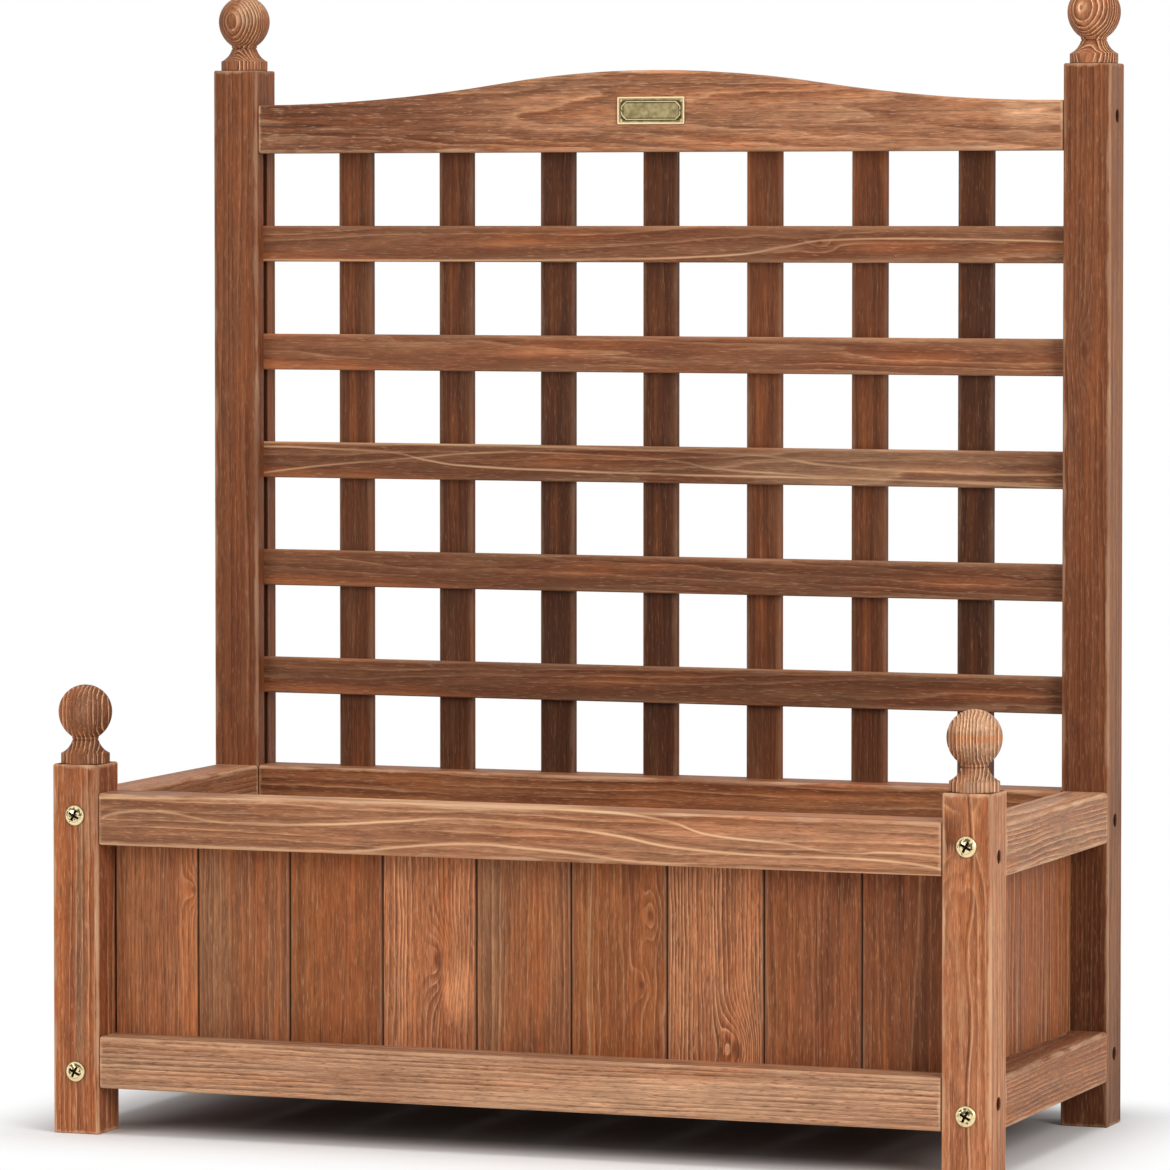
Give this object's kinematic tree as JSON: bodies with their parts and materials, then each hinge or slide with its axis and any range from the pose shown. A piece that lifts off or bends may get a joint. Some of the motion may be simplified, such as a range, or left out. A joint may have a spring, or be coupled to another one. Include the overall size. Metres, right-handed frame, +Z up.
{
  "type": "trellis planter",
  "caption": "Stained wooden box planter with panelled sides, ball finials and a slatted trellis between its tall rear posts.",
  "frame": {"origin": "on the ground under the middle of the four feet", "axes": "+Z up, +X to the right seen from the front, +Y to the back, where the trellis stands"},
  "size_m": [0.6378, 0.2982, 0.7449],
  "materials": {
    "post_wood": "stained fir, matt",
    "rail_wood": "stained fir, matt",
    "board_wood": "stained fir, matt",
    "trellis_wood": "stained fir, matt",
    "finial_wood": "stained turned fir, matt",
    "floor_wood": "stained fir, matt",
    "dowel_wood": "plain beech",
    "bolt_brass": "polished brass plating",
    "insert_brass": "plain brass",
    "plate_brass": "antique brass, blank",
    "screw_steel": "zinc-plated steel",
    "brad_steel": "plain steel"
  },
  "bodies": {
    "root": {"arch_rail": "rail_wood", "back_boards": "board_wood", "back_bottom_rail": "rail_wood", "back_floor_cleat": "floor_wood", "back_top_rail": "rail_wood", "bolt_inserts": "insert_brass", "finial_dowels": "dowel_wood", "finial_pins": "brad_steel", "floor_screws": "screw_steel", "floor_slats": "floor_wood", "frame_bolts": "bolt_brass", "front_board_1": "board_wood", "front_board_2": "board_wood", "front_board_3": "board_wood", "front_board_4": "board_wood", "front_board_5": "board_wood", "front_board_6": "board_wood", "front_board_7": "board_wood", "front_board_8": "board_wood", "front_board_9": "board_wood", "front_bottom_rail": "rail_wood", "front_floor_cleat": "floor_wood", "front_left_finial": "finial_wood", "front_left_post": "post_wood", "front_right_finial": "finial_wood", "front_right_post": "post_wood", "front_top_rail": "rail_wood", "left_board_1": "board_wood", "left_board_2": "board_wood", "left_board_3": "board_wood", "left_board_4": "board_wood", "left_bottom_rail": "rail_wood", "left_top_rail": "rail_wood", "name_plate": "plate_brass", "panel_brads": "brad_steel", "plate_pins": "plate_brass", "rail_screws": "screw_steel", "rear_left_finial": "finial_wood", "rear_left_post": "post_wood", "rear_right_finial": "finial_wood", "rear_right_post": "post_wood", "right_board_1": "board_wood", "right_board_2": "board_wood", "right_board_3": "board_wood", "right_board_4": "board_wood", "right_bottom_rail": "rail_wood", "right_top_rail": "rail_wood", "trellis_brads": "brad_steel", "trellis_crossbar_1": "trellis_wood", "trellis_crossbar_2": "trellis_wood", "trellis_crossbar_3": "trellis_wood", "trellis_crossbar_4": "trellis_wood", "trellis_crossbar_5": "trellis_wood", "trellis_upright_1": "trellis_wood", "trellis_upright_2": "trellis_wood", "trellis_upright_3": "trellis_wood", "trellis_upright_4": "trellis_wood", "trellis_upright_5": "trellis_wood", "trellis_upright_6": "trellis_wood", "trellis_upright_7": "trellis_wood"}
  },
  "joints": []
}
